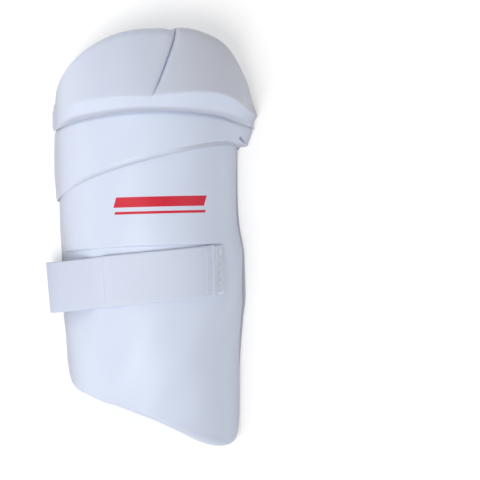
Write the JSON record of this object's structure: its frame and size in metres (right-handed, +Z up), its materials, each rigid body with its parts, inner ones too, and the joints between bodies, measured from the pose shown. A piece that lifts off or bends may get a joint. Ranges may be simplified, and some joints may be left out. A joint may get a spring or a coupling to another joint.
{
  "type": "cricket thigh guard",
  "caption": "Outer thigh guard for cricket: an arched foam shell with a stepped middle pad, a split hip pad and an elastic leg strap with a hook and loop tab.",
  "frame": {"origin": "middle of the underside of the guard's box as it lies on its open side, on the surface it rests on", "axes": "+Y along the leg towards the hip end, +X towards the outer side of the leg, +Z up from the surface, out of the front of the guard"},
  "size_m": [0.211, 0.4118, 0.0976],
  "materials": {
    "moulded_skin": "smooth white synthetic leather over moulded foam, satin",
    "elastic_webbing": "ribbed white elastic, matt",
    "hook_tape": "smooth white tape, matt",
    "loop_pile": "rough white loop pile, matt"
  },
  "bodies": {
    "root": {"base_pad": "moulded_skin", "middle_pad": "moulded_skin", "hip_pad": "moulded_skin", "leg_strap": "elastic_webbing", "hook_tab": "hook_tape", "loop_patch": "loop_pile"}
  },
  "joints": []
}
